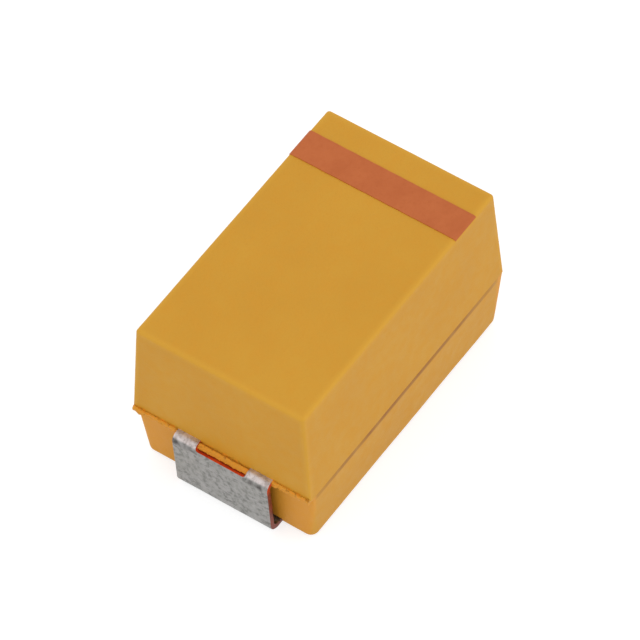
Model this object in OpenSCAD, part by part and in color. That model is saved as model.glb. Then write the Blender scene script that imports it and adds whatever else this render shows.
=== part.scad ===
// Moulded tantalum chip capacitor of the 7343-43 size, in millimetres.
// It stands on its two folded leads, with the anode end at +X and the origin
// in the middle of its footprint, on the surface that it stands on.

/* [Case] */
// Length of the case at its parting line
case_l = 6.85; // [6.6:0.05:6.9]
// Width of the case at its parting line
case_w = 4.3; // [4.2:0.05:4.7]
// Height of the upper half, from the parting line to the top
upper_h = 2.5; // [2.3:0.05:2.8]
// Height of the lower half, from the underside to the parting line
lower_h = 1.55; // [1.45:0.05:1.7]
// Height of the underside above the surface that the part stands on
standoff = 0.05; // [0.02:0.01:0.1]
// Lean of the upper half's end walls, in degrees
upper_end_draft = 2.5; // [1:0.5:5]
// Lean of the upper half's side walls, in degrees
upper_side_draft = 4; // [2:0.5:5]
// Lean of the lower half's end walls, in degrees
lower_end_draft = 3.5; // [2:0.5:5]
// Lean of the lower half's side walls, in degrees
lower_side_draft = 4; // [2:0.5:6]
// Radius of the upright corners where the halves meet
parting_corner_r = 0.06; // [0.04:0.01:0.12]
// Radius of the upper half's upright corners at the top
top_corner_r = 0.15; // [0.1:0.01:0.3]
// Radius of the lower half's upright corners at the underside
bottom_corner_r = 0.24; // [0.2:0.02:0.4]
// Radius that rounds the rim of the top
top_edge_r = 0.1; // [0.05:0.01:0.1]
// Radius that rounds the rim of the underside
bottom_edge_r = 0.14; // [0.08:0.01:0.2]
// Setback of the lower half below the upper half, all round
lower_setback = 0.05; // [0.03:0.01:0.1]
// Shift of the lower half towards the anode end
mould_shift = 0.05; // [0:0.01:0.08]
// Reach of the fin of flash beyond each end of the case
flash_out = 0.07; // [0.03:0.01:0.09]
// How far the fin of flash stops short of each side of the case
flash_short = 0.08; // [0.07:0.01:0.2]

/* [Leads] */
// Length over the two leads
overall_l = 7.3; // [7.25:0.05:7.6]
// Width of a lead
lead_w = 2.3; // [2.1:0.05:2.5]
// Thickness of the lead sheet
lead_t = 0.13; // [0.1:0.01:0.15]
// How far the leads sit off the middle of the case, towards -Y
lead_shift = 0.1; // [0:0.01:0.15]
// Inside radius of the bend beside the case
upper_bend_r = 0.05; // [0.03:0.01:0.06]
// Inside radius of the bend into the foot
foot_bend_r = 0.22; // [0.1:0.01:0.3]
// Inward lean of the upright leg of a lead, in degrees
leg_lean = 3; // [0:0.5:5]
// Length of a foot, from the outside of its lead to its tip
foot_l = 1.3; // [1.1:0.05:1.6]
// Width of the slot through a lead's bend
slot_w = 1.2; // [0.8:0.05:1.4]
// Reach of the slot into the case
slot_in = 0.35; // [0.2:0.05:0.4]
// Width of the bar of sheet that closes the slot inside the case
slot_bar = 0.2; // [0.1:0.05:0.25]
// Place of the slot's outer end on the bend, in degrees above level
slot_end = 25; // [15:1:40]
// Gap between a foot and the roof of its pocket under the case
pocket_roof_gap = 0.05; // [0.03:0.01:0.1]
// Gap round the sides and the tip of a foot in its pocket
pocket_side_gap = 0.04; // [0.03:0.01:0.1]

/* [Inner leads] */
// Inside radius of the bends inside the case
inner_bend_r = 0.08; // [0.05:0.01:0.12]
// Straight stretch between the slot's bar and the first bend inside
inner_run = 0.02; // [0.01:0.01:0.05]
// Length of the cathode lead's straight bed under the pellet
bed_l = 1.8; // [1:0.1:2.4]
// Width of the anode lead's upright tab at the wire
weld_tab_w = 1.2; // [0.9:0.1:1.8]

/* [Pellet and wire] */
// Width of the pellet
pellet_w = 3.1; // [2.6:0.05:3.2]
// Height of the pellet
pellet_h = 2.7; // [2.4:0.05:2.8]
// Radius of the pellet's long edges
pellet_edge_r = 0.3; // [0.15:0.05:0.5]
// Thickness of the carbon coat
carbon_t = 0.03; // [0.02:0.01:0.05]
// Bare stretch of pellet between the carbon coat and the anode face
carbon_margin = 0.3; // [0.2:0.05:0.6]
// Thickness of the silver coat
silver_t = 0.05; // [0.03:0.01:0.07]
// How far the silver coat stops short of the carbon coat's rim
silver_margin = 0.2; // [0.1:0.05:0.5]
// Thickness of the silver adhesive under the pellet
adhesive_t = 0.05; // [0.03:0.01:0.08]
// Length of the adhesive pad
adhesive_l = 1.5; // [0.6:0.1:1.7]
// Width of the adhesive pad
adhesive_w = 1.8; // [1:0.1:2]
// Diameter of the riser wire
wire_d = 0.4; // [0.25:0.05:0.5]
// Length of bare wire between the pellet and the tab that it is welded to
wire_free = 0.73; // [0.4:0.01:1.2]
// Length of wire inside the pellet
wire_in = 3.2; // [2:0.1:3.8]
// Length of wire past the tab that it is welded to
wire_past = 0.08; // [0.03:0.01:0.12]
// Diameter of the washer on the wire
washer_d = 1.4; // [0.8:0.1:2]
// Thickness of the washer
washer_t = 0.2; // [0.1:0.05:0.3]

/* [Polarity band] */
// Width of the band
band_w = 0.72; // [0.4:0.02:1]
// Distance from the band to the rim of the top at the anode end
band_inset = 0.64; // [0.3:0.02:1.2]
// Thickness of the printed ink
band_t = 0.015; // [0.01:0.005:0.03]

/* [Hidden] */

// Heights
parting_z = standoff + lower_h;
top_z = parting_z + upper_h;
lead_z = parting_z - lead_t/2;
wire_z = (standoff + top_z)/2;
lead_y = -lead_shift;

// A lead, measured outwards from the middle of the part
slot_x = case_l/2 - slot_in;
bar_x = slot_x - slot_bar;
upper_bend_out = upper_bend_r + lead_t;
foot_bend_out = foot_bend_r + lead_t;
upper_bend_x = overall_l/2 - upper_bend_out;
upper_bend_z = lead_z - upper_bend_r;
leg_l = (upper_bend_z - foot_bend_out + (foot_bend_r - upper_bend_r)*sin(leg_lean))
    / cos(leg_lean);
foot_bend_x = upper_bend_x - (foot_bend_r - upper_bend_r)*cos(leg_lean)
    - leg_l*sin(leg_lean);
foot_tip_x = overall_l/2 - foot_l;

// The upright parts of both leads inside the case
upright_out_x = bar_x - inner_run - inner_bend_r;
upright_in_x = upright_out_x - lead_t;

// The coated pellet
coat_t = carbon_t + silver_t;
cathode_face_x = -(upright_in_x - inner_bend_r) + coat_t;
anode_face_x = upright_in_x - wire_free;
pellet_l = anode_face_x - cathode_face_x;
bed_z = wire_z - pellet_h/2 - coat_t - adhesive_t - lead_t;
bed_start_x = upright_in_x - inner_bend_r;
wire_end_x = upright_out_x + wire_past;

// The straight land beside the parting line, and how far a cut runs clear of
// the solid that it cuts
land = 0.02;
past = 1;

// One half of the case: a block of h by l by w on the parting plane, drawn in
// by its drafts as it goes up, with rounded upright corners and a rounded rim
module drafted_half(l, w, h, end_draft, side_draft, corner_r, edge_r) {
    hull()
        for (sx = [-1, 1], sy = [-1, 1]) {
            translate([sx*(l/2 - parting_corner_r), sy*(w/2 - parting_corner_r), 0])
                cylinder(r = parting_corner_r, h = land, $fn = 24);
            translate([
                sx*(l/2 - h*tan(end_draft) - corner_r),
                sy*(w/2 - h*tan(side_draft) - corner_r),
                h - edge_r
            ])
                rounded_disc(corner_r, edge_r);
        }
}

// A disc whose upper rim is rounded
module rounded_disc(r, edge_r) {
    rotate_extrude($fn = 32)
        intersection() {
            square([r, edge_r]);
            union() {
                square([r - edge_r, edge_r]);
                translate([r - edge_r, 0])
                    circle(edge_r, $fn = 32);
            }
        }
}

module upper_half() {
    translate([0, 0, parting_z])
        drafted_half(case_l, case_w, upper_h, upper_end_draft, upper_side_draft,
            top_corner_r, top_edge_r);
}

module lower_half() {
    translate([mould_shift, 0, parting_z])
        mirror([0, 0, 1])
            drafted_half(case_l - 2*lower_setback, case_w - 2*lower_setback, lower_h,
                lower_end_draft, lower_side_draft, bottom_corner_r, bottom_edge_r);
}

// The fin that fills the gap between the mould halves, as thick as the leads.
// It stands beside the leads and in their slots, and leaves their way free.
module flash() {
    fin_l = case_l + 2*flash_out;
    fin_w = case_w - 2*flash_short;
    difference() {
        translate([-fin_l/2, -fin_w/2, lead_z])
            cube([fin_l, fin_w, lead_t]);
        translate([-fin_l, lead_y - lead_w/2, lead_z - past])
            cube([2*fin_l, lead_w, lead_t + 2*past]);
    }
    translate([-fin_l/2, lead_y - slot_w/2, lead_z])
        cube([fin_l, slot_w, lead_t]);
}

// The pocket under each end of the case that a foot lies in
module foot_pocket() {
    pocket_w = lead_w + 2*pocket_side_gap;
    pocket_x = foot_tip_x - pocket_side_gap;
    translate([pocket_x, lead_y - pocket_w/2, -past])
        cube([overall_l/2, pocket_w, past + lead_t + pocket_roof_gap]);
}

// Mirrors what faces the anode end so that it faces the cathode end
module cathode_end() {
    mirror([1, 0, 0])
        children();
}

// Part of a ring in the plane, from the angle a and over the angle turn
module ring_sector(inner, outer, a, turn) {
    reach = 2*outer;
    intersection() {
        difference() {
            circle(outer, $fn = 64);
            circle(inner, $fn = 64);
        }
        polygon([
            [0, 0],
            reach*[cos(a), sin(a)],
            reach*[cos(a + turn/2), sin(a + turn/2)],
            reach*[cos(a + turn), sin(a + turn)]
        ]);
    }
}

// The edge-on view of folded sheet. Each run is a straight length, then a turn
// in degrees, positive to the left, at an inside radius.
module folded_strip(runs, i = 0) {
    length = runs[i][0];
    turn = runs[i][1];
    r = runs[i][2];
    square([length, lead_t]);
    if (turn < 0)
        translate([length, -r]) {
            ring_sector(r, r + lead_t, 90 + turn, -turn);
            rotate(turn)
                translate([0, r])
                    folded_strip(runs, i + 1);
        }
    if (turn > 0)
        translate([length, lead_t + r]) {
            ring_sector(r, r + lead_t, -90, turn);
            rotate(turn)
                translate([0, -lead_t - r])
                    folded_strip(runs, i + 1);
        }
}

// Gives an edge-on view drawn in X and Z its width across the part
module across(w) {
    translate([0, lead_y, 0])
        rotate([90, 0, 0])
            linear_extrude(height = w, center = true)
                children();
}

// The slot runs out from inside the case and part of the way round the bend
module slot() {
    across(slot_w)
        polygon([
            [upper_bend_x, upper_bend_z],
            [upper_bend_x + past*cos(slot_end), upper_bend_z + past*sin(slot_end)],
            [upper_bend_x + past, upper_bend_z + past],
            [slot_x, upper_bend_z + past],
            [slot_x, upper_bend_z]
        ]);
}

// What both leads share: the slotted tab, the leg and the foot, for +X
module terminal() {
    difference() {
        across(lead_w)
            translate([bar_x, lead_z])
                folded_strip([
                    [upper_bend_x - bar_x, -90 - leg_lean, upper_bend_r],
                    [leg_l, -90 + leg_lean, foot_bend_r],
                    [foot_bend_x - foot_tip_x, 0, 0]
                ]);
        slot();
    }
}

// The cathode lead steps down inside and runs on under the pellet
module cathode_lead() {
    drop = lead_z - bed_z - lead_t - 2*inner_bend_r;
    color("silver")
        cathode_end() {
            terminal();
            across(lead_w)
                translate([bar_x, lead_z])
                    mirror([1, 0])
                        folded_strip([
                            [inner_run, -90, inner_bend_r],
                            [drop, 90, inner_bend_r],
                            [bed_l, 0, 0]
                        ]);
        }
}

// The anode lead stands up inside, and its edge is notched for the wire
module anode_lead() {
    rise = wire_z - lead_z - lead_t - inner_bend_r;
    color("silver") {
        terminal();
        difference() {
            across(weld_tab_w)
                translate([bar_x, lead_z])
                    mirror([1, 0])
                        folded_strip([[inner_run, 90, inner_bend_r], [rise, 0, 0]]);
            wire_rod();
        }
    }
}

// The wire's own solid, which also cuts its hole and its notch
module wire_rod() {
    translate([anode_face_x - wire_in, 0, wire_z])
        rotate([0, 90, 0])
            cylinder(d = wire_d, h = wire_end_x - anode_face_x + wire_in, $fn = 64);
}

module riser_wire() {
    color("dimgray")
        wire_rod();
}

// The pellet's section, grown by the coats on it
function section(grown) =
    let (
        r = pellet_edge_r + grown,
        y = pellet_w/2 - pellet_edge_r,
        z = pellet_h/2 - pellet_edge_r,
        steps = 6
    )
    [
        for (corner = [[1, 1, 0], [-1, 1, 90], [-1, -1, 180], [1, -1, 270]], i = [0:steps])
            let (a = corner[2] + 90*i/steps)
            [corner[0]*y + r*cos(a), corner[1]*z + r*sin(a)]
    ];

// The pellet's block with a coat of the thickness grown, up to a margin from
// the anode face
module coated_block(grown, margin) {
    translate([cathode_face_x - grown, 0, wire_z])
        rotate([90, 0, 90])
            linear_extrude(height = pellet_l + grown - margin)
                polygon(section(grown));
}

module tantalum_pellet() {
    color("dimgray")
        difference() {
            coated_block(0, 0);
            wire_rod();
        }
}

module carbon_coat() {
    color([0.12, 0.12, 0.13])
        difference() {
            coated_block(carbon_t, carbon_margin);
            coated_block(0, 0);
        }
}

module silver_coat() {
    color("lightgray")
        difference() {
            coated_block(coat_t, carbon_margin + silver_margin);
            coated_block(carbon_t, carbon_margin);
        }
}

// The pad lies in the middle of the bed, between it and the silver coat
module silver_adhesive() {
    color("gainsboro")
        translate([
            -bed_start_x + (bed_l - adhesive_l)/2,
            lead_y - adhesive_w/2,
            bed_z + lead_t
        ])
            cube([adhesive_l, adhesive_w, adhesive_t]);
}

module washer_disc() {
    translate([anode_face_x, 0, wire_z])
        rotate([0, 90, 0])
            cylinder(d = washer_d, h = washer_t, $fn = 64);
}

module wire_washer() {
    color("white")
        difference() {
            washer_disc();
            wire_rod();
        }
}

// The case is moulded round everything that it holds, so their solids cut it
module case_moulding() {
    color([0.8, 0.58, 0.22])
        difference() {
            union() {
                upper_half();
                lower_half();
                flash();
            }
            foot_pocket();
            cathode_end()
                foot_pocket();
            cathode_lead();
            anode_lead();
            coated_block(0, 0);
            coated_block(carbon_t, carbon_margin);
            coated_block(coat_t, carbon_margin + silver_margin);
            silver_adhesive();
            washer_disc();
            wire_rod();
        }
}

// The band is printed right across the flat of the top
module polarity_band() {
    rim_x = case_l/2 - upper_h*tan(upper_end_draft);
    flat_w = case_w - 2*upper_h*tan(upper_side_draft) - 2*top_edge_r;
    color([0.76, 0.4, 0.24])
        translate([rim_x - band_inset - band_w, -flat_w/2, top_z])
            cube([band_w, flat_w, band_t]);
}

case_moulding();
cathode_lead();
anode_lead();
polarity_band();
tantalum_pellet();
riser_wire();
wire_washer();
carbon_coat();
silver_coat();
silver_adhesive();
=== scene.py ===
"""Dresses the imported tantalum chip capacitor: finer meshes, finishes, light and camera.

Sizes are in millimetres and angles in degrees until a mesh is made in the frame's metres.
"""

import math
from collections import namedtuple

import bmesh
import bpy
from mathutils import Matrix, Vector, noise


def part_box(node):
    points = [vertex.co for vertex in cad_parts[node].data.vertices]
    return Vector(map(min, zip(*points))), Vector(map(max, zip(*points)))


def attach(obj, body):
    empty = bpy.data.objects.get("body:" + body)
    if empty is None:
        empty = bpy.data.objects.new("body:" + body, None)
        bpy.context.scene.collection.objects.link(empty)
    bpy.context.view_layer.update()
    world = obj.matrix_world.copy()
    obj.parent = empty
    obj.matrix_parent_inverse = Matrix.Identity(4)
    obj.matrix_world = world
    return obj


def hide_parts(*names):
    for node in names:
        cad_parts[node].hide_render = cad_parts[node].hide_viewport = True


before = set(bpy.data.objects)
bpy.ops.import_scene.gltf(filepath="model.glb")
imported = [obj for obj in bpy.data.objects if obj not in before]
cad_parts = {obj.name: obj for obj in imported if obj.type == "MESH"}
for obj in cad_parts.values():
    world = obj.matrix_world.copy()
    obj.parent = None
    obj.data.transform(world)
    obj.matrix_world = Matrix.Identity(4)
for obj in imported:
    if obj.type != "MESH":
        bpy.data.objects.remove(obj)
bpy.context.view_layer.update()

MM = 0.001
ROOT = "root"


def box_mm(node):
    """The lowest and highest corners of a CAD node, in millimetres."""
    low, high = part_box(node)
    return low / MM, high / MM


# ---- Sizes that the frame gives ----

case_low, case_high = box_mm("case_moulding")
lead_low, lead_high = box_mm("cathode_lead")
band_low, band_high = box_mm("polarity_band")
bed_top_z = box_mm("silver_adhesive")[0].z
wire_low, wire_high = box_mm("riser_wire")

# ---- Sizes that the part's source gives ----

LEAD_T = 0.13
FLASH_OUT = 0.07
UPPER_BEND_R = 0.05
LEG_LEAN = 3.0
FOOT_L = 1.3
SLOT_W = 1.2
SLOT_IN = 0.35
SLOT_BAR = 0.2
SLOT_END = 25.0
POCKET_ROOF_GAP = 0.05
POCKET_SIDE_GAP = 0.04
INNER_BEND_R = 0.08
INNER_RUN = 0.02
BED_L = 1.8
WELD_TAB_W = 1.2

# ---- Sizes that are set here, and differ a little from the source's ----

UPPER_END_DRAFT = 1.9
UPPER_SIDE_DRAFT = 3.3
LOWER_END_DRAFT = 3.0
LOWER_SIDE_DRAFT = 3.7
PARTING_CORNER_R = 0.04
TOP_CORNER_R = 0.08
BOTTOM_CORNER_R = 0.18
TOP_EDGE_R = 0.07
BOTTOM_EDGE_R = 0.1
LOWER_END_SETBACK = 0.046
LOWER_SIDE_SETBACK = 0.012
MOULD_SHIFT = 0.046
FOOT_BEND_R = 0.13
FLASH_SHORT = {-1: 0.03, 1: 0.3}
SLOT_FLASH_OUT = 0.135
SLOT_FLASH_DROP = 0.03

# ---- Sizes worked out from them ----

CASE_L = case_high.x - case_low.x - 2 * FLASH_OUT
CASE_W = case_high.y - case_low.y
TOP_Z = case_high.z
UNDERSIDE_Z = case_low.z
LEAD_W = lead_high.y - lead_low.y
LEAD_Y = (lead_high.y + lead_low.y) / 2
LEAD_REACH = -lead_low.x
TAB_TOP_Z = lead_high.z
LEAD_Z = TAB_TOP_Z - LEAD_T
PARTING_Z = TAB_TOP_Z - LEAD_T / 2
WIRE_Z = (wire_low.z + wire_high.z) / 2
BED_Z = bed_top_z - LEAD_T
SLOT_X = CASE_L / 2 - SLOT_IN
BAR_X = SLOT_X - SLOT_BAR
UPPER_BEND_X = LEAD_REACH - UPPER_BEND_R - LEAD_T
UPPER_BEND_Z = LEAD_Z - UPPER_BEND_R
UPRIGHT_OUT_X = BAR_X - INNER_RUN - INNER_BEND_R
UPRIGHT_IN_X = UPRIGHT_OUT_X - LEAD_T


# ---- Making pieces ----

JOIN_GAP = 0.0004
SLIVER_L = 0.0002
SHARP_ANGLE = 35.0


def build_mesh(name, points, faces):
    """A mesh from points in millimetres, with doubled points joined and its faces turned outwards."""
    mesh = bpy.data.meshes.new(name)
    mesh.from_pydata([Vector(p) * MM for p in points], [], faces)
    work = bmesh.new()
    work.from_mesh(mesh)
    bmesh.ops.remove_doubles(work, verts=work.verts, dist=JOIN_GAP * MM)
    bmesh.ops.dissolve_degenerate(work, edges=work.edges, dist=SLIVER_L * MM)
    bmesh.ops.recalc_face_normals(work, faces=work.faces)
    work.to_mesh(mesh)
    work.free()
    return mesh


def new_object(name, points, faces, finishes=()):
    """An object from points in millimetres, with its materials in order."""
    piece = bpy.data.objects.new(name, build_mesh(name, points, faces))
    bpy.context.scene.collection.objects.link(piece)
    for finish in finishes:
        piece.data.materials.append(finish)
    return piece


def combine(piece, cutter, operation):
    """Joins the cutter to the piece, or takes it away, and removes the cutter."""
    modifier = piece.modifiers.new("combine", "BOOLEAN")
    modifier.object = cutter
    modifier.operation = operation
    modifier.solver = "EXACT"
    modifier.material_mode = "TRANSFER"
    graph = bpy.context.evaluated_depsgraph_get()
    mesh = bpy.data.meshes.new_from_object(piece.evaluated_get(graph))
    piece.modifiers.clear()
    old = piece.data
    name = old.name
    piece.data = mesh
    bpy.data.meshes.remove(old)
    mesh.name = name
    bpy.data.objects.remove(cutter)


def smooth(piece):
    """Shades a piece smooth, apart from its sharp edges."""
    piece.data.shade_smooth()
    piece.data.set_sharp_from_angle(angle=math.radians(SHARP_ANGLE))


def shift_points(piece, shift):
    """Moves each point of a piece by what shift(point, normal) gives, all in millimetres."""
    moves = [shift(v.co / MM, v.normal) for v in piece.data.vertices]
    for vertex, move in zip(piece.data.vertices, moves):
        vertex.co += move * MM
    piece.data.update()


def paint(piece, name, value):
    """Stores value(point) on each point of a piece, for its material to read."""
    layer = piece.data.attributes.new(name, "FLOAT", "POINT")
    layer.data.foreach_set("value", [value(v.co / MM) for v in piece.data.vertices])


def ramp(low, high, x):
    """0 below low, 1 above high, and smooth in between."""
    t = min(1.0, max(0.0, (x - low) / (high - low)))
    return t * t * (3 - 2 * t)


def spread(start, end, steps):
    """Evenly spaced numbers from start to end, both included."""
    return [start + (end - start) * k / steps for k in range(steps + 1)]


def waves(point, start, sizes_and_depths):
    """A start plus smooth wandering: over each size, by up to its depth, in millimetres."""
    depth = start
    for size, reach in sizes_and_depths:
        depth += reach * noise.noise(point / size)
    return depth


def loft(rings):
    """Points and faces of a surface through rings that have the same number of points."""
    n = len(rings[0])
    points = [p for ring in rings for p in ring]
    faces = []
    for i in range(len(rings) - 1):
        a = i * n
        b = (i + 1) * n
        for k in range(n):
            m = (k + 1) % n
            faces.append((a + k, a + m, b + m, b + k))
    return points, faces


def capped_loft(rings):
    """A lofted surface that is closed by a face at each end."""
    points, faces = loft(rings)
    n = len(rings[0])
    faces.append(tuple(range(n)))
    faces.append(tuple(len(points) - n + k for k in range(n)))
    return points, faces


# ---- The case ----

ALONG_SIDE = 120
ALONG_END = 80
CORNER_STEPS = 6
FLAT_STEPS = 14
FLAT_CROWDING = 1.6
RIM_STEPS = 10


def rounded_ring(x0, x1, y0, y1, r, z):
    """Points round a level rectangle with rounded corners, anticlockwise from above."""
    corners = [(x1 - r, y1 - r), (x0 + r, y1 - r), (x0 + r, y0 + r), (x1 - r, y0 + r)]
    arcs = []
    for quarter, (cx, cy) in enumerate(corners):
        turns = [math.radians(90 * (quarter + k / CORNER_STEPS)) for k in range(CORNER_STEPS + 1)]
        arcs.append([Vector((cx + r * math.cos(a), cy + r * math.sin(a), z)) for a in turns])
    points = []
    for quarter, arc in enumerate(arcs):
        following = arcs[(quarter + 1) % 4][0]
        steps = ALONG_END if quarter % 2 else ALONG_SIDE
        points += arc
        points += [arc[-1].lerp(following, k / steps) for k in range(1, steps)]
    return points


class Half:
    """One mould half: its outline at each height, from the parting line to its outer face."""

    def __init__(self, length, width, middle, height, end_draft, side_draft, corner_r, edge_r, up):
        self.length, self.width, self.middle, self.height = length, width, middle, height
        self.end_lean = math.tan(math.radians(end_draft))
        self.side_lean = math.tan(math.radians(side_draft))
        self.corner_r, self.edge_r, self.up = corner_r, edge_r, up

    def reach(self, h):
        """Half the length and half the width of the walls at a height above the parting line."""
        return self.length / 2 - h * self.end_lean, self.width / 2 - h * self.side_lean

    def ring(self, h, inset=0.0, shrink=0.0):
        """The outline at a height, drawn in by an inset, with its corner radius made smaller."""
        half_l, half_w = self.reach(h)
        share = h / (self.height - self.edge_r)
        r = PARTING_CORNER_R + (self.corner_r - PARTING_CORNER_R) * min(1.0, share)
        r = max(0.0, r - shrink)
        return rounded_ring(
            self.middle - half_l + inset, self.middle + half_l - inset,
            -half_w + inset, half_w - inset, r, PARTING_Z + self.up * h)

    def flat_rings(self):
        """Rings from the middle of the outer face out to its rim."""
        half_w = self.reach(self.height)[1] - self.edge_r
        insets = [half_w * (k / FLAT_STEPS) ** FLAT_CROWDING for k in range(FLAT_STEPS, 0, -1)]
        return [self.ring(self.height, self.edge_r + d, self.edge_r + d) for d in insets]

    def rim_rings(self):
        """Rings round the rounded rim, from the outer face to the wall."""
        rings = []
        for k in range(RIM_STEPS + 1):
            a = math.radians(90 * k / RIM_STEPS)
            drawn_in = self.edge_r * (1 - math.sin(a))
            lowered = self.edge_r * (1 - math.cos(a))
            rings.append(self.ring(self.height - lowered, drawn_in, drawn_in))
        return rings

    def wall_rings(self, heights):
        """Rings up or down the wall, at heights above the parting line."""
        return [self.ring(h) for h in heights]


upper = Half(CASE_L, CASE_W, 0.0, TOP_Z - PARTING_Z, UPPER_END_DRAFT, UPPER_SIDE_DRAFT,
             TOP_CORNER_R, TOP_EDGE_R, 1)
lower = Half(CASE_L - 2 * LOWER_END_SETBACK, CASE_W - 2 * LOWER_SIDE_SETBACK, MOULD_SHIFT,
             PARTING_Z - UNDERSIDE_Z, LOWER_END_DRAFT, LOWER_SIDE_DRAFT,
             BOTTOM_CORNER_R, BOTTOM_EDGE_R, -1)

# Rings lie closer together near the parting line, where the case is crumbly and carries painted shade
LIP_R = 0.02
LIP_TUCK = 0.004
UPPER_FINE_H = 0.2
LOWER_FINE_H = 0.24


def case_rings():
    """Every ring of the case, from the middle of its top to the middle of its underside."""
    upper_walls = spread(upper.height - TOP_EDGE_R, UPPER_FINE_H, 24)[1:]
    upper_walls += spread(UPPER_FINE_H, LIP_R, 9)[1:]
    lower_walls = spread(LIP_R, LOWER_FINE_H, 12)
    lower_walls += spread(LOWER_FINE_H, lower.height - BOTTOM_EDGE_R, 14)[1:-1]
    lip = [upper.ring(LIP_R * (1 - math.sin(math.radians(a))), LIP_R * (1 - math.cos(math.radians(a))))
           for a in (30, 60, 90)]
    step = [lower.ring(0.0, LIP_R + LIP_TUCK), lower.ring(0.0, LIP_R), lower.ring(LIP_R / 3, LIP_R / 3)]
    return (upper.flat_rings() + upper.rim_rings() + upper.wall_rings(upper_walls) + lip
            + step + lower.wall_rings(lower_walls) + lower.rim_rings()[::-1] + lower.flat_rings()[::-1])


CASE_INSET = 0.004
CASE_WAVES = ((1.3, 0.004), (0.25, 0.0015))


def case_shift(point, normal):
    """The case's faces wander a little, always inwards."""
    return -normal * max(0.0, waves(point, CASE_INSET, CASE_WAVES))


# ---- The flash ----

# Heights are from the middle of the fin, and the shares and depths say how broken it is
Fin = namedtuple("Fin", "top_z reach least_share crease droop crumble_share")
OPEN_FIN = Fin(LEAD_T / 2, FLASH_OUT, 0.3, 0.012, 0.012, 1.0)
SLOT_FIN = Fin(LEAD_T / 2 - SLOT_FLASH_DROP, SLOT_FLASH_OUT, 0.9, 0.03, 0.03, 0.45)

FIN_ROOT = 0.12
FIN_EDGE_R = 0.022
FIN_STEP = 0.02
FIN_SLOT_GAP = 0.004
CREASE_W = 0.004
CREST_AT = 0.3
SLOPE_AT = 0.55
SLOPE_DROOP = 0.3
REACH_MIDDLE = 0.8
REACH_WAVES = ((2.3, 0.45), (7.0, 0.4), (17.0, 0.2))
CRUMB_WAVES = ((0.11, 0.016), (0.05, 0.012), (0.025, 0.005))


def flash_reach(y, seed, fin):
    """How far the broken fin of flash reaches beyond the end wall at a place across the end."""
    at = Vector((seed, y, 0))
    share = REACH_MIDDLE
    for rate, depth in REACH_WAVES:
        share += depth * noise.noise(at * rate)
    return fin.reach * min(1.0, max(fin.least_share, share))


def fin_profile(reach, fin):
    """The fin's section, as distances along the part and heights from the fin's middle."""
    half_t = LEAD_T / 2
    wall_x = CASE_L / 2
    out_x = wall_x + reach
    round_x = out_x - FIN_EDGE_R
    upper_z = fin.top_z - fin.droop - FIN_EDGE_R
    lower_z = FIN_EDGE_R - half_t
    turns = [math.radians(a) for a in spread(0, 90, 4)]
    profile = [(wall_x - FIN_ROOT, fin.top_z - fin.crease), (wall_x + CREASE_W, fin.top_z - fin.crease),
               (wall_x + reach * CREST_AT, fin.top_z),
               (wall_x + reach * SLOPE_AT, fin.top_z - fin.droop * SLOPE_DROOP)]
    profile += [(round_x + FIN_EDGE_R * math.sin(a), upper_z + FIN_EDGE_R * math.cos(a)) for a in turns]
    profile += [(out_x, z) for z in spread(upper_z, lower_z, 5)[1:-1]]
    profile += [(round_x + FIN_EDGE_R * math.cos(a), lower_z - FIN_EDGE_R * math.sin(a)) for a in turns]
    return profile + [(wall_x, -half_t), (wall_x - FIN_ROOT, -half_t)]


def flash_strip(end, y0, y1, seed, fin, finish):
    """A length of the fin at one end of the case, with a broken and crumbly outer edge."""
    steps = max(6, round((y1 - y0) / FIN_STEP))
    rings = []
    for y in spread(y0, y1, steps):
        profile = fin_profile(flash_reach(y, seed, fin), fin)
        rings.append([Vector((end * x, y, PARTING_Z + z)) for x, z in profile])
    strip = new_object("fin", *capped_loft(rings), [finish])

    def crumble(point, normal):
        loose = ramp(CASE_L / 2 - 0.01, CASE_L / 2 + 0.03, abs(point.x))
        here = point + Vector((seed, 0, 0))
        return normal * loose * fin.crumble_share * waves(here, 0.0, CRUMB_WAVES)

    shift_points(strip, crumble)
    return strip


def add_flash(case, end, finish):
    """Joins the flash to one end of the case: beside the lead on both sides, and in its slot."""
    fin_w = CASE_W / 2 - FLASH_SHORT[end]
    beside = [(-fin_w, LEAD_Y - LEAD_W / 2), (LEAD_Y + LEAD_W / 2, fin_w)]
    for i, (y0, y1) in enumerate(beside):
        seed = 11.3 * i + 5.7 * end
        combine(case, flash_strip(end, y0, y1, seed, OPEN_FIN, finish), "UNION")
    slot_y = (LEAD_Y - SLOT_W / 2 + FIN_SLOT_GAP, LEAD_Y + SLOT_W / 2 - FIN_SLOT_GAP)
    combine(case, flash_strip(end, *slot_y, 3.1 * end, SLOT_FIN, finish), "UNION")


def block(name, low, high, finish):
    """A plain block, used only to cut with."""
    points = [(x, y, z) for x in (low[0], high[0]) for y in (low[1], high[1]) for z in (low[2], high[2])]
    faces = [(0, 1, 3, 2), (4, 6, 7, 5), (0, 4, 5, 1), (2, 3, 7, 6), (0, 2, 6, 4), (1, 5, 7, 3)]
    return new_object(name, points, faces, [finish])


def add_pocket(case, end, finish):
    """Cuts the shallow pocket that the foot lies in. The cutter runs well past the case."""
    past = 1
    foot_tip_x = LEAD_REACH - FOOT_L
    half_pocket = LEAD_W / 2 + POCKET_SIDE_GAP
    roof_z = LEAD_T + POCKET_ROOF_GAP
    near_x = end * (foot_tip_x - POCKET_SIDE_GAP)
    far_x = end * (LEAD_REACH + past)
    pocket = block("pocket", (min(near_x, far_x), LEAD_Y - half_pocket, -past),
                   (max(near_x, far_x), LEAD_Y + half_pocket, roof_z), finish)
    combine(case, pocket, "DIFFERENCE")


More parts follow.
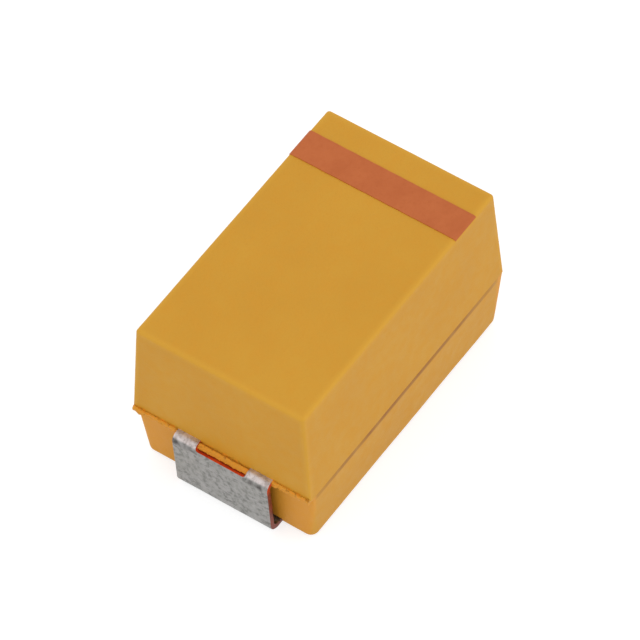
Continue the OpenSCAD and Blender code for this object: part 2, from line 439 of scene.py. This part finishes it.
def make_case(finish):
    """The moulded case, with the pockets for the feet and the broken flash at both ends."""
    case = new_object("case_shell", *loft(case_rings()), [finish])
    shift_points(case, case_shift)
    for end in (-1, 1):
        add_pocket(case, end, finish)
    for end in (-1, 1):
        add_flash(case, end, finish)
    smooth(case)
    paint(case, "edge", case_edge_highlight)
    paint(case, "flash", case_flash)
    paint(case, "crease_shade", case_crease_shade)
    paint(case, "crumbs", case_crumbs)
    paint(case, "below", case_lower_end_light)
    return case


def case_edge_highlight(point):
    """1 along the case's outer edges, where the epoxy gets a painted highlight, falling to 0 away from them.
    """
    highlight_w = 0.16
    half = upper if point.z > PARTING_Z else lower
    h = abs(point.z - PARTING_Z)
    half_l, half_w = half.reach(h)
    gaps = sorted((half_l - abs(point.x - half.middle), half_w - abs(point.y), half.height - h))
    return 1 - ramp(0.0, highlight_w, math.hypot(max(0.0, gaps[0]), max(0.0, gaps[1])))


def case_flash(point):
    """1 on the broken flash at the ends."""
    return ramp(0.0, 0.02, abs(point.x) - CASE_L / 2) * (1 - ramp(0.08, 0.1, abs(point.z - PARTING_Z)))


def case_crease_shade(point):
    """1 in the crease under the upper half's lip, where the epoxy gets painted shade, falling to 0 below it
    and towards its ends.
    """
    below = PARTING_Z - point.z
    along = 1 - 0.75 * abs(point.x / (CASE_L / 2)) ** 2.5
    return along * ramp(-0.012, -0.002, below) * (1 - ramp(0.12, 0.19, below))


def case_crumbs(point):
    """1 just above the flash at the ends, where the wall is crumbly and its pits are painted shade."""
    above = point.z - PARTING_Z
    at_end = ramp(CASE_L / 2 - 0.06, CASE_L / 2 - 0.03, abs(point.x))
    upper_limit = waves(point, 0.13, [(0.3, 0.05)])
    return at_end * ramp(0.0, 0.02, above) * (1 - ramp(0.05, upper_limit, above))


def case_lower_end_light(point):
    """1 on the lower half's end walls, which get painted light to make up for the shade they are in."""
    at_end = ramp(CASE_L / 2 - 0.25, CASE_L / 2 - 0.15, abs(point.x))
    return ramp(0.0, 0.03, PARTING_Z - point.z) * at_end


# ---- The leads ----


STATION_GAP = 0.06
TURN_STEPS = 14
EDGE_R = 0.016
EDGE_STEPS = 3
ACROSS_STEPS = 30


def fold(start, heading, runs):
    """Stations along folded sheet, edge on: each is the right-hand face's place and the heading.

    Each run is a straight length, then a turn, positive to the left, at an inside radius.
    """
    x, z = start
    a = math.radians(heading)
    stations = [(x, z, a)]
    for length, turn, inside_r in runs:
        steps = max(1, round(length / STATION_GAP))
        stations += [(x + length * k / steps * math.cos(a), z + length * k / steps * math.sin(a), a)
                     for k in range(1, steps + 1)]
        x += length * math.cos(a)
        z += length * math.sin(a)
        if not turn:
            continue
        side = 1 if turn > 0 else -1
        r = inside_r + (LEAD_T if turn > 0 else 0)
        cx = x - side * r * math.sin(a)
        cz = z + side * r * math.cos(a)
        before = a
        for k in range(1, TURN_STEPS + 1):
            a = before + math.radians(turn) * k / TURN_STEPS
            x = cx + side * r * math.sin(a)
            z = cz - side * r * math.cos(a)
            stations.append((x, z, a))
    return stations


def sheet_section(half_w):
    """The sheet's own section, as places across it and through it, with rolled edges."""
    corners = [(half_w - EDGE_R, EDGE_R, -90), (half_w - EDGE_R, LEAD_T - EDGE_R, 0),
               (EDGE_R - half_w, LEAD_T - EDGE_R, 90), (EDGE_R - half_w, EDGE_R, 180)]
    flat_t = LEAD_T - 2 * EDGE_R
    section = []
    for i, (middle_y, middle_h, start) in enumerate(corners):
        turns = [math.radians(start + a) for a in spread(0, 90, EDGE_STEPS)]
        section += [(middle_y + EDGE_R * math.cos(a), middle_h + EDGE_R * math.sin(a)) for a in turns]
        y, h = section[-1]
        if i % 2:
            section += [(y * (1 - 2 * k / ACROSS_STEPS), h) for k in range(1, ACROSS_STEPS)]
        else:
            thirds = (1, 2) if i == 0 else (2, 1)
            section += [(y, EDGE_R + flat_t * k / 3) for k in thirds]
    return section


def sheet_mesh(stations, half_widths, end):
    """Points and faces of sheet swept along its stations, for the end of the part that it is on."""
    rings = []
    for (x, z, a), half_w in zip(stations, half_widths):
        rings.append([Vector((end * (x - h * math.sin(a)), LEAD_Y + y, z + h * math.cos(a)))
                      for y, h in sheet_section(half_w)])
    return capped_loft(rings)


def outer_runs(inner_run):
    """The runs from the slot's bar out to the tip of the foot."""
    lean = math.radians(LEG_LEAN)
    wider = FOOT_BEND_R - UPPER_BEND_R
    leg_l = (UPPER_BEND_Z - FOOT_BEND_R - LEAD_T + wider * math.sin(lean)) / math.cos(lean)
    foot_bend_x = UPPER_BEND_X - wider * math.cos(lean) - leg_l * math.sin(lean)
    tab = (inner_run + UPPER_BEND_X - BAR_X, -90 - LEG_LEAN, UPPER_BEND_R)
    leg = (leg_l, LEG_LEAN - 90, FOOT_BEND_R)
    foot = (foot_bend_x - LEAD_REACH + FOOT_L, 0, 0)
    return [tab, leg, foot]


def slot_cutter(end, finish):
    """What the slot is cut with: it runs out from inside the case and part of the way round the bend."""
    past = 1
    corner_r = 0.07
    a = math.radians(SLOT_END)
    outline = [(SLOT_X, UPPER_BEND_Z), (UPPER_BEND_X, UPPER_BEND_Z),
               (UPPER_BEND_X + past * math.cos(a), UPPER_BEND_Z + past * math.sin(a)),
               (SLOT_X, UPPER_BEND_Z + past)]
    rings = [[Vector((end * x, LEAD_Y + y, z)) for x, z in outline] for y in (-SLOT_W / 2, SLOT_W / 2)]
    points, faces = loft(rings)
    cutter = new_object("slot", points, faces + [(0, 1, 2, 3), (4, 5, 6, 7)], [finish])
    work = bmesh.new()
    work.from_mesh(cutter.data)
    bend_x = (UPPER_BEND_X - 0.001) * MM
    outer = [e for e in work.edges if abs(e.verts[0].co.y - e.verts[1].co.y) < 1e-6
             and min(abs(v.co.x) for v in e.verts) > bend_x]
    bmesh.ops.bevel(work, geom=outer, offset=corner_r * MM, offset_type="OFFSET", segments=6,
                    profile=0.5, affect="EDGES")
    work.to_mesh(cutter.data)
    work.free()
    return cutter


def copper_edges(piece):
    """Gives the sheared faces along a lead's sides the second material, which is bare copper."""
    for face in piece.data.polygons:
        across = abs(face.center.y / MM - LEAD_Y)
        if abs(face.normal.y) > 0.75 and across > LEAD_W / 2 - EDGE_R:
            face.material_index = 1


DENT_DEPTH = 0.003
DENT_WAVES = ((0.5, 0.003), (0.15, 0.0015))


def make_lead(name, end, start, heading, inner, half_widths, finishes):
    """One lead, from its inner end out through the case and down to its foot."""
    stations = fold(start, heading, inner + outer_runs(INNER_RUN if inner else 0))
    widths = [half_widths(x) for x, _, _ in stations]
    points, faces = sheet_mesh(stations, widths, end)
    lead = new_object(name, points, faces, finishes)
    copper_edges(lead)
    combine(lead, slot_cutter(end, finishes[1]), "DIFFERENCE")

    def dent(point, normal):
        return -normal * max(0.0, waves(point, DENT_DEPTH, DENT_WAVES))

    shift_points(lead, dent)
    smooth(lead)
    paint(lead, "bend", lead_top_light)
    paint(lead, "leg", lead_leg)
    paint(lead, "smudge", lead_smudge)
    return lead


def lead_top_light(point):
    """1 at the top of the upper bend and on what lies above it, where the tin gets painted light, 0 below.
    """
    return ramp(UPPER_BEND_Z + 0.085, UPPER_BEND_Z + 0.125, point.z)


def lead_leg(point):
    """0 at the foot and 1 at the top of the leg."""
    return point.z / TAB_TOP_Z


# Each smudge is a place across the lead, how wide it is and how dark
SMUDGES = ((1.07, 0.14, 1.0), (0.8, 0.24, 0.45), (-0.93, 0.1, 1.0), (-0.74, 0.07, 1.0))
SMUDGE_UP = 0.03
SMUDGE_TALL = 0.07


def lead_smudge(point):
    """1 where the forming tool has rubbed the leg, just under both ends of its bend."""
    rubbed = 0.0
    for y, width, dark in SMUDGES:
        across = (point.y - (LEAD_Y + y)) / width
        away = math.hypot(across, (point.z - UPPER_BEND_Z - SMUDGE_UP) / SMUDGE_TALL)
        rubbed = max(rubbed, (1 - ramp(0.4, 1.3, away)) * dark)
    return rubbed


def cathode_lead(finishes):
    """The cathode lead, whose bed runs under the pellet."""
    drop = LEAD_Z - BED_Z - LEAD_T - 2 * INNER_BEND_R
    start = (UPRIGHT_IN_X - INNER_BEND_R - BED_L, BED_Z)
    inner = [(BED_L, 90, INNER_BEND_R), (drop, -90, INNER_BEND_R)]
    return make_lead("cathode_terminal", -1, start, 0, inner, lambda x: LEAD_W / 2, finishes)


def anode_half_width(x):
    """Half the anode lead's width. It is less at the weld tab and also at the tip of the foot."""
    return (WELD_TAB_W if x < BAR_X - 0.001 else LEAD_W) / 2


def anode_lead(finishes):
    """The anode lead, whose inner end stands up to the wire as a narrow weld tab."""
    rise = WIRE_Z - LEAD_Z - LEAD_T - INNER_BEND_R
    inner = [(rise, 90, INNER_BEND_R)]
    start = (UPRIGHT_IN_X, WIRE_Z)
    return make_lead("anode_terminal", 1, start, -90, inner, anode_half_width, finishes)


# ---- The polarity band ----


BAND_OVER = 55.0
BAND_SUNK = 0.02
BAND_FLAT_STEPS = 90
BAND_RIM_STEPS = 8
BAND_LONG_STEPS = 16
BAND_WOBBLE = 0.006


def band_stations():
    """Places across the top, each with how far round the rim it is, in radians."""
    half_flat = upper.reach(upper.height)[1] - TOP_EDGE_R
    rim = [math.radians(a) for a in spread(0, BAND_OVER, BAND_RIM_STEPS)[1:]]
    flat = [(y, 0.0) for y in spread(-half_flat, half_flat, BAND_FLAT_STEPS)]
    left = [(-half_flat, -a) for a in rim[::-1]]
    right = [(half_flat, a) for a in rim]
    return left + flat + right


def band_row(lift):
    """The band's section at a height above the case's skin, as places across and heights."""
    r = TOP_EDGE_R + lift
    row = []
    for y, a in band_stations():
        if a:
            row.append((y + r * math.sin(a), TOP_Z - TOP_EDGE_R + r * math.cos(a)))
        else:
            row.append((y, TOP_Z + lift))
    return row


def band_points(row):
    """A layer of the band's points, whose first and last rows wobble as a printed edge does."""
    points = []
    for k in range(BAND_LONG_STEPS + 1):
        share = k / BAND_LONG_STEPS
        seed = 7.1 if share < 0.5 else 2.9
        at_edge = 1 if k in (0, BAND_LONG_STEPS) else 0
        for y, z in row:
            x = band_low.x + (band_high.x - band_low.x) * share
            wobble = BAND_WOBBLE * noise.noise(Vector((seed, y * 4, 0)))
            points.append((x + wobble * at_edge, y, z))
    return points


def band_faces(n):
    """Faces of the band's two layers, with n points in a row, and of the walls between them."""
    steps = BAND_LONG_STEPS
    layer = (steps + 1) * n
    faces = []
    for base in (0, layer):
        for k in range(steps):
            for i in range(n - 1):
                a = base + k * n + i
                faces.append((a, a + 1, a + n + 1, a + n))
    near = list(range(n))
    right = [k * n + n - 1 for k in range(1, steps + 1)]
    far = [steps * n + i for i in range(n - 2, -1, -1)]
    left = [k * n for k in range(steps - 1, 0, -1)]
    rim_line = near + right + far + left
    for i, a in enumerate(rim_line):
        b = rim_line[(i + 1) % len(rim_line)]
        faces.append((a, b, b + layer, a + layer))
    return faces


def make_band(finish):
    """The printed band, which runs over the rounding of the rim at both sides."""
    ink = band_high.z - band_low.z
    rows = [band_row(lift) for lift in (-BAND_SUNK, ink)]
    points = [p for row in rows for p in band_points(row)]
    band = new_object("printed_band", points, band_faces(len(rows[0])), [finish])
    smooth(band)
    return band


# ---- Finishes ----


def linear(red, green, blue):
    """A colour given as it shows, from 0 to 255, as the linear colour that a shader takes."""
    def channel(c):
        c /= 255
        return c / 12.92 if c <= 0.04045 else ((c + 0.055) / 1.055) ** 2.4
    return (channel(red), channel(green), channel(blue), 1.0)


class Finish:
    """A material whose textures are placed in millimetres on the part itself."""

    def __init__(self, name, metallic=0.0, specular=0.5):
        self.material = bpy.data.materials.new(name)
        self.material.use_nodes = True
        self.tree = self.material.node_tree
        self.shader = self.tree.nodes["Principled BSDF"]
        self.shader.inputs["Metallic"].default_value = metallic
        self.shader.inputs["Specular IOR Level"].default_value = specular
        self.place = self.tree.nodes.new("ShaderNodeTexCoord").outputs["Object"]

    def node(self, kind, inputs=None, **settings):
        """Adds a node. An input is a value, or an output to link from."""
        made = self.tree.nodes.new(kind)
        for key, value in settings.items():
            setattr(made, key, value)
        for key, value in (inputs or {}).items():
            self.feed(made.inputs[key], value)
        return made

    def feed(self, socket, value):
        """Links a socket from an output, or sets it to a value."""
        if isinstance(value, bpy.types.NodeSocket):
            self.tree.links.new(value, socket)
        else:
            socket.default_value = value

    def scaled(self, stretch=(1, 1, 1), turn=(0, 0, 0)):
        """The part's coordinates in millimetres, stretched and turned."""
        scale = [s / MM for s in stretch]
        turn = [math.radians(t) for t in turn]
        inputs = {"Vector": self.place, "Scale": scale, "Rotation": turn}
        return self.node("ShaderNodeMapping", inputs).outputs["Vector"]

    def grain(self, size, detail=3.0, roughness=0.55, stretch=(1, 1, 1), turn=(0, 0, 0)):
        """Noise from 0 to 1 whose blotches are about a size across, in millimetres."""
        inputs = {"Vector": self.scaled(stretch, turn), "Scale": 1 / size, "Detail": detail,
                  "Roughness": roughness, "Distortion": 0.0}
        return self.node("ShaderNodeTexNoise", inputs).outputs["Fac"]

    def cells(self, size):
        """Distance to the nearest of points that are about a size apart, in millimetres."""
        inputs = {"Vector": self.scaled(), "Scale": 1 / size}
        return self.node("ShaderNodeTexVoronoi", inputs).outputs["Distance"]

    def painted(self, name):
        """What the mesh has stored on its points under a name."""
        return self.node("ShaderNodeAttribute", attribute_name=name).outputs["Fac"]

    def span(self, value, low, high, to_low=0.0, to_high=1.0):
        """Maps low..high to to_low..to_high, and holds the ends."""
        inputs = {"Value": value, "From Min": low, "From Max": high, "To Min": to_low, "To Max": to_high}
        return self.node("ShaderNodeMapRange", inputs, clamp=True).outputs["Result"]

    def math(self, operation, a, b):
        """What a Math node gives for two inputs."""
        return self.node("ShaderNodeMath", {0: a, 1: b}, operation=operation).outputs["Value"]

    def mix(self, share, a, b):
        """A colour between a and b."""
        made = self.node("ShaderNodeMix", data_type="RGBA")
        self.feed(made.inputs[0], share)
        self.feed(made.inputs[6], a)
        self.feed(made.inputs[7], b)
        return made.outputs[2]

    def bump(self, height, depth, normal=None):
        """A bumped normal whose full height is a depth in millimetres."""
        inputs = {"Height": height, "Distance": depth * MM, "Strength": 1.0}
        if normal is not None:
            inputs["Normal"] = normal
        return self.node("ShaderNodeBump", inputs).outputs["Normal"]

    def finish(self, colour, roughness, normal):
        """Feeds the shader and gives the material."""
        self.feed(self.shader.inputs["Base Color"], colour)
        self.feed(self.shader.inputs["Roughness"], roughness)
        self.feed(self.shader.inputs["Normal"], normal)
        return self.material


def epoxy_finish():
    """Golden moulded epoxy: matte and finely granular, with a painted highlight at its edges, painted shade
    in the crease under the parting line, painted shade in small pits and painted light on the lower end
    walls.
    """
    f = Finish("golden_epoxy", specular=0.3)
    broad = f.grain(1.6, detail=2)
    mottle = f.grain(0.22, detail=4, roughness=0.6)
    filler = f.grain(0.03, detail=2)
    colour = f.mix(f.span(broad, 0.35, 0.65), linear(206, 148, 38), linear(209, 152, 41))
    colour = f.mix(f.span(mottle, 0.4, 0.75, 0.0, 0.5), colour, linear(212, 147, 38))
    colour = f.mix(f.span(filler, 0.55, 0.75, 0.0, 0.35), colour, linear(198, 140, 36))
    # Painted highlight: the case's edges are lighter and yellower, standing in for the sheen along the
    # rounded rims
    colour = f.mix(f.math("MULTIPLY", f.painted("edge"), 0.55), colour, linear(221, 166, 52))
    colour = f.mix(f.math("MULTIPLY", f.painted("flash"), 0.7), colour, linear(226, 153, 40))
    # Painted shade: the crease under the upper half's lip is darkened, as the shadow its overhang casts
    painted_crease_shade = f.math("MULTIPLY", f.painted("crease_shade"), f.span(f.grain(0.5, detail=3), 0.3, 0.65, 0.6, 0.95))
    colour = f.mix(painted_crease_shade, colour, linear(146, 84, 10))
    # Painted light: the lower end walls are lifted to a lighter, redder tone where the lamps leave them
    # darker
    colour = f.mix(f.math("MULTIPLY", f.painted("below"), 0.85), colour, linear(224, 152, 44))
    crumb = f.grain(0.085, detail=4, roughness=0.6)
    crumbs = f.painted("crumbs")
    grains = f.math("MULTIPLY", crumbs, f.span(crumb, 0.5, 0.62, 0.0, 0.85))
    # Painted shade: small dark spots stand for the shade in pits, which have no shape of their own
    pit_shade = f.math("MULTIPLY", crumbs, f.span(crumb, 0.36, 0.46, 0.7, 0.0))
    colour = f.mix(grains, colour, linear(232, 146, 34))
    colour = f.mix(pit_shade, colour, linear(160, 100, 26))
    roughness = f.span(mottle, 0.3, 0.7, 0.5, 0.62)
    normal = f.bump(filler, 0.004, f.bump(mottle, 0.006))
    return f.finish(colour, roughness, normal)


def tin_finish():
    """Matte tin plate on the leads: mottled, with forming streaks, dark scuffs and painted light on the
    upward faces of the tabs.
    """
    f = Finish("tin_plate", metallic=1.0)
    cloud = f.grain(0.35, detail=4, roughness=0.6)
    speck = f.grain(0.13, detail=4, roughness=0.65)
    streak = f.grain(0.12, detail=4, roughness=0.65, stretch=(1, 0.4, 1), turn=(-38, 0, 0))
    colour = f.mix(f.span(cloud, 0.35, 0.65), linear(146, 145, 141), linear(164, 162, 160))
    colour = f.mix(f.span(speck, 0.5, 0.64, 0.0, 0.85), colour, linear(116, 116, 112))
    colour = f.mix(f.span(speck, 0.32, 0.45, 0.5, 0.0), colour, linear(176, 174, 172))
    scuff = f.math("MULTIPLY", f.span(streak, 0.55, 0.66), f.span(cloud, 0.44, 0.56))
    colour = f.mix(f.math("MULTIPLY", scuff, 0.75), colour, linear(104, 103, 100))
    # Painted light: the tab tops and the top of the bend are lighter, as surfaces facing up to the light
    top_light = f.mix(f.span(speck, 0.4, 0.6), linear(222, 212, 210), linear(178, 166, 162))
    colour = f.mix(f.math("MULTIPLY", f.painted("bend"), 0.85), colour, top_light)
    rubbed = f.math("MULTIPLY", f.painted("smudge"), f.span(speck, 0.3, 0.6, 0.5, 0.95))
    colour = f.mix(rubbed, colour, linear(84, 80, 78))
    roughness = f.span(cloud, 0.3, 0.7, 0.42, 0.58)
    normal = f.bump(speck, 0.003, f.bump(cloud, 0.006))
    return f.finish(colour, roughness, normal)


def copper_finish():
    """Bare copper alloy on the sheared edges, with painted light at the slot, which faces up, and painted
    shade lower down.
    """
    f = Finish("sheared_copper", metallic=0.35)
    cloud = f.grain(0.25, detail=3)
    lines = f.grain(0.02, detail=2, stretch=(1, 1, 0.3))
    # Painted light and shade: the copper is lit where the slot faces up and shaded lower down the leg, where
    # the case shades it
    bright = f.mix(f.span(cloud, 0.35, 0.65), linear(214, 74, 30), linear(240, 96, 42))
    shaded_copper = f.mix(f.span(cloud, 0.35, 0.65), linear(108, 42, 24), linear(142, 60, 34))
    colour = f.mix(f.span(f.painted("leg"), 0.8, 0.93), shaded_copper, bright)
    colour = f.mix(f.span(lines, 0.5, 0.8, 0.0, 0.4), colour, linear(140, 52, 30))
    roughness = f.span(cloud, 0.3, 0.7, 0.4, 0.55)
    return f.finish(colour, roughness, f.bump(lines, 0.004))


def ink_finish():
    """Matte terracotta ink, a little thin in places."""
    f = Finish("band_ink", specular=0.3)
    cloud = f.grain(0.5, detail=3)
    mottle = f.grain(0.08, detail=3)
    pin_holes = f.cells(0.12)
    colour = f.mix(f.span(cloud, 0.35, 0.65), linear(188, 97, 46), linear(194, 103, 51))
    colour = f.mix(f.span(mottle, 0.5, 0.75, 0.0, 0.4), colour, linear(180, 93, 46))
    colour = f.mix(f.span(pin_holes, 0.03, 0.1, 0.4, 0.0), colour, linear(204, 122, 46))
    roughness = f.span(mottle, 0.3, 0.7, 0.5, 0.65)
    return f.finish(colour, roughness, f.bump(mottle, 0.004))


def powder_finish(name, dark, light, size, depth, metallic=0.0, rough=(0.6, 0.85)):
    """A granular finish between two colours, for sintered metal, carbon, paint and glue."""
    f = Finish(name, metallic=metallic)
    grit = f.cells(size)
    cloud = f.grain(size * 8, detail=4)
    colour = f.mix(f.span(cloud, 0.3, 0.7), dark, light)
    colour = f.mix(f.span(grit, 0.1, 0.5, 0.4, 0.0), colour, dark)
    roughness = f.span(cloud, 0.3, 0.7, *rough)
    return f.finish(colour, roughness, f.bump(grit, depth))


def wire_finish():
    """Drawn tantalum wire, with fine lines along it."""
    f = Finish("tantalum_wire", metallic=1.0)
    lines = f.grain(0.02, detail=2, stretch=(0.08, 1, 1))
    colour = f.mix(f.span(lines, 0.3, 0.7), linear(112, 116, 124), linear(138, 142, 150))
    return f.finish(colour, f.span(lines, 0.3, 0.7, 0.3, 0.45), f.bump(lines, 0.002))


def dress_node(node, finish):
    """Gives a carried-over CAD node its finish."""
    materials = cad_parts[node].data.materials
    materials.clear()
    materials.append(finish)


epoxy = epoxy_finish()
lead_finishes = [tin_finish(), copper_finish()]

case = make_case(epoxy)
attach(case, ROOT)
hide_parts("case_moulding")

cathode = cathode_lead(lead_finishes)
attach(cathode, ROOT)
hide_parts("cathode_lead")

anode = anode_lead(lead_finishes)
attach(anode, ROOT)
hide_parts("anode_lead")

band = make_band(ink_finish())
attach(band, ROOT)
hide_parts("polarity_band")

sintered = powder_finish("sintered_tantalum", linear(62, 63, 68), linear(92, 94, 100), 0.02, 0.01, 0.4)
dress_node("tantalum_pellet", sintered)

dress_node("riser_wire", wire_finish())

dark, light = linear(222, 222, 216), linear(238, 238, 234)
dress_node("wire_washer", powder_finish("washer_ptfe", dark, light, 0.05, 0.002, 0.0, (0.35, 0.5)))

carbon = powder_finish("carbon_paint", linear(24, 24, 26), linear(44, 44, 46), 0.03, 0.004)
dress_node("carbon_coat", carbon)

dark, light = linear(168, 168, 166), linear(196, 196, 192)
dress_node("silver_coat", powder_finish("silver_paint", dark, light, 0.03, 0.004, 0.7, (0.45, 0.65)))

dark, light = linear(150, 150, 148), linear(184, 184, 180)
dress_node("silver_adhesive", powder_finish("silver_glue", dark, light, 0.025, 0.005, 0.6, (0.45, 0.65)))

# ---- Floor, light and camera ----

FLOOR_REACH = 400.0
FLOOR_STEPS = 96
FLOOR_WHITE = (0.8, 0.8, 0.8, 1)
FLOOR_SEEN = (0.45, 0.45, 0.45, 1)
FLOOR_GLOW = 0.71
WORLD_LIGHT = 0.9
WORLD_SEEN = 1.0
LENS_LENGTH = 337.5
SENSOR_W = 36


def make_floor():
    """A plain white floor. Seen from below, it isn't there."""
    turns = [2 * math.pi * k / FLOOR_STEPS for k in range(FLOOR_STEPS)]
    ring = [Vector((FLOOR_REACH * math.cos(a), FLOOR_REACH * math.sin(a), 0)) for a in turns]
    f = Finish("floor_white")
    nodes = f.tree.nodes
    output = nodes["Material Output"]
    seen = f.node("ShaderNodeLightPath")
    direct = f.math("MAXIMUM", seen.outputs["Is Camera Ray"], seen.outputs["Is Glossy Ray"])
    direct = f.math("MAXIMUM", direct, seen.outputs["Is Transmission Ray"])
    paper = f.node("ShaderNodeBsdfDiffuse", {"Color": FLOOR_WHITE}).outputs[0]
    shown = f.node("ShaderNodeBsdfDiffuse", {"Color": FLOOR_SEEN}).outputs[0]
    glow = f.node("ShaderNodeEmission", {"Color": (1, 1, 1, 1), "Strength": FLOOR_GLOW}).outputs[0]
    lit = f.node("ShaderNodeAddShader", {0: shown, 1: glow}).outputs[0]
    top = f.node("ShaderNodeMixShader", {0: direct, 1: paper, 2: lit}).outputs[0]
    clear = f.node("ShaderNodeBsdfTransparent").outputs[0]
    back = f.node("ShaderNodeNewGeometry").outputs["Backfacing"]
    both = f.node("ShaderNodeMixShader", {0: back, 1: top, 2: clear}).outputs[0]
    nodes.remove(f.shader)
    f.tree.links.new(both, output.inputs["Surface"])
    floor = new_object("floor", ring, [tuple(range(FLOOR_STEPS))], [f.material])
    if floor.data.polygons[0].normal.z < 0:
        floor.data.flip_normals()


def make_world():
    """An even white studio."""
    world = bpy.data.worlds.new("studio")
    world.use_nodes = True
    bpy.context.scene.world = world
    tree = world.node_tree
    background = tree.nodes["Background"]
    path = tree.nodes.new("ShaderNodeLightPath")
    direct = tree.nodes.new("ShaderNodeMath")
    direct.operation = "MAXIMUM"
    tree.links.new(path.outputs["Is Camera Ray"], direct.inputs[0])
    tree.links.new(path.outputs["Is Glossy Ray"], direct.inputs[1])
    strength = tree.nodes.new("ShaderNodeMapRange")
    strength.inputs["To Min"].default_value = WORLD_LIGHT
    strength.inputs["To Max"].default_value = WORLD_SEEN
    tree.links.new(direct.outputs[0], strength.inputs["Value"])
    background.inputs["Color"].default_value = (1, 1, 1, 1)
    tree.links.new(strength.outputs["Result"], background.inputs["Strength"])


def make_lamp(name, place, aim, size, strength):
    """A soft square lamp. Strength is how bright its face is, where 1 is white."""
    lamp = bpy.data.lights.new(name, "AREA")
    lamp.shape = "SQUARE"
    lamp.size = size * MM
    lamp.energy = strength * math.pi * lamp.size**2
    holder = bpy.data.objects.new(name, lamp)
    bpy.context.scene.collection.objects.link(holder)
    holder.location = Vector(place) * MM
    holder.rotation_euler = (Vector(place) - Vector(aim)).to_track_quat("Z", "Y").to_euler()


def make_camera():
    """The viewpoint, given as angles and a distance from a point near the middle of the part."""
    aim = Vector((0.0718, 0.0247, 2.1047))
    azimuth, elevation, roll = (math.radians(a) for a in (-53.218, 52.881, -2.756))
    distance = 119.8
    back = Vector((math.sin(azimuth) * math.cos(elevation), -math.cos(azimuth) * math.cos(elevation),
                   math.sin(elevation)))
    right = Vector((math.cos(azimuth), math.sin(azimuth), 0))
    up = back.cross(right)
    rolled_right = math.cos(roll) * right + math.sin(roll) * up
    rolled_up = math.cos(roll) * up - math.sin(roll) * right
    lens = bpy.data.cameras.new("camera")
    lens.sensor_width = SENSOR_W
    lens.lens = LENS_LENGTH
    lens.clip_start = 0.001
    lens.clip_end = 10
    camera = bpy.data.objects.new("camera", lens)
    bpy.context.scene.collection.objects.link(camera)
    turn = Matrix((rolled_right, rolled_up, back)).transposed().to_4x4()
    camera.matrix_world = Matrix.Translation((aim + back * distance) * MM) @ turn
    bpy.context.scene.camera = camera


make_floor()
make_world()
make_lamp("key", (-60, -20, 90), (0, 0, 2), 90, 0.3)
make_lamp("fill", (60, -100, 35), (0, 0, 2), 90, 0.75)
make_camera()
bpy.context.scene.view_settings.view_transform = "Standard"
